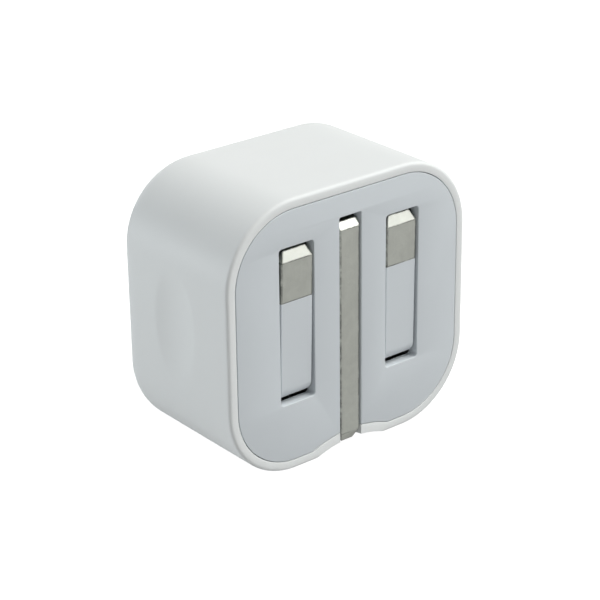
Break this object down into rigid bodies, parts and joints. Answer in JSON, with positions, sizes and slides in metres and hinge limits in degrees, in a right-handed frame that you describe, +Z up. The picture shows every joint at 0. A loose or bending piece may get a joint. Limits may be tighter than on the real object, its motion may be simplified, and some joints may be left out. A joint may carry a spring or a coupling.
{
  "type": "usb wall charger",
  "caption": "Compact wall charger with rounded white case, grey face plate and fold-away three-pin mains plug, USB-A outlet underneath.",
  "frame": {"origin": "centre of the bottom of the case", "axes": "+Z up, -Y out of the pin face, +X to the right of someone who looks at the pin face"},
  "size_m": [0.05, 0.0301, 0.0472],
  "materials": {
    "white_shell": "gloss",
    "grey_plastic": "satin",
    "dark_nylon": "matt",
    "acetal": "satin",
    "nickel_brass": "satin",
    "steel": "satin",
    "brass": "satin",
    "circuit_board": "satin",
    "clear_film": "satin",
    "ferrite": "matt",
    "black_resin": "matt",
    "yellow_tape": "satin",
    "capacitor_sleeve": "satin",
    "aluminium_can": "satin",
    "white_resin": "satin",
    "fuse_body": "satin",
    "blue_ceramic": "gloss",
    "gold_contact": "polished",
    "brown_wire": "satin",
    "blue_wire": "satin"
  },
  "bodies": {
    "case": {"outer_shell": "white_shell", "face_plate": "grey_plastic", "pin_carrier": "dark_nylon", "slider_cover": "dark_nylon", "carrier_screws": "steel", "cover_screws": "steel", "board_screws": "steel", "detent_spring": "steel", "contact_rivets": "brass", "main_board": "circuit_board", "insulating_sheet": "clear_film", "transformer_core": "ferrite", "transformer_bobbin": "black_resin", "transformer_winding": "yellow_tape", "input_capacitor_1": "capacitor_sleeve", "input_capacitor_2": "capacitor_sleeve", "output_capacitor": "aluminium_can", "inductor": "ferrite", "bridge_rectifier": "black_resin", "controller_chip": "black_resin", "optocoupler": "white_resin", "output_diode": "black_resin", "fuse_resistor": "fuse_body", "safety_capacitor": "blue_ceramic", "usb_shell": "steel", "usb_insulator": "white_resin", "usb_contacts": "gold_contact", "live_contact": "brass", "neutral_contact": "brass", "live_wire": "brown_wire", "neutral_wire": "blue_wire"},
    "earth": {"earth_pin": "nickel_brass", "earth_shaft": "steel", "earth_drive_pin": "steel"},
    "live": {"live_pin": "nickel_brass", "live_sleeve": "grey_plastic", "live_shaft": "steel", "live_crank": "acetal"},
    "neutral": {"neutral_pin": "nickel_brass", "neutral_sleeve": "grey_plastic", "neutral_shaft": "steel", "neutral_crank": "acetal"},
    "slider": {"sync_slider": "acetal"}
  },
  "joints": [
    {"name": "earth_fold", "type": "hinge", "parent": "case", "child": "earth", "pos_m": [0, -0.0063, 0.03233], "axis": [-1, 0, 0], "range_deg": [0, 90]},
    {"name": "live_fold", "type": "hinge", "parent": "case", "child": "live", "pos_m": [0, -0.0106, 0.0166], "axis": [1, 0, 0], "range_deg": [0, 88.6]},
    {"name": "neutral_fold", "type": "hinge", "parent": "case", "child": "neutral", "pos_m": [0, -0.0106, 0.0166], "axis": [1, 0, 0], "range_deg": [0, 89.4]},
    {"name": "slider_travel", "type": "slide", "parent": "case", "child": "slider", "axis": [0, 0, 1], "range_m": [0, 0.00424]}
  ],
  "couplings": [
    {"joint": "live_fold", "follows": "earth_fold", "ratio": 0.98444},
    {"joint": "neutral_fold", "follows": "earth_fold", "ratio": 0.99333},
    {"joint": "slider_travel", "follows": "earth_fold", "m_per_rad": 0.002701}
  ]
}
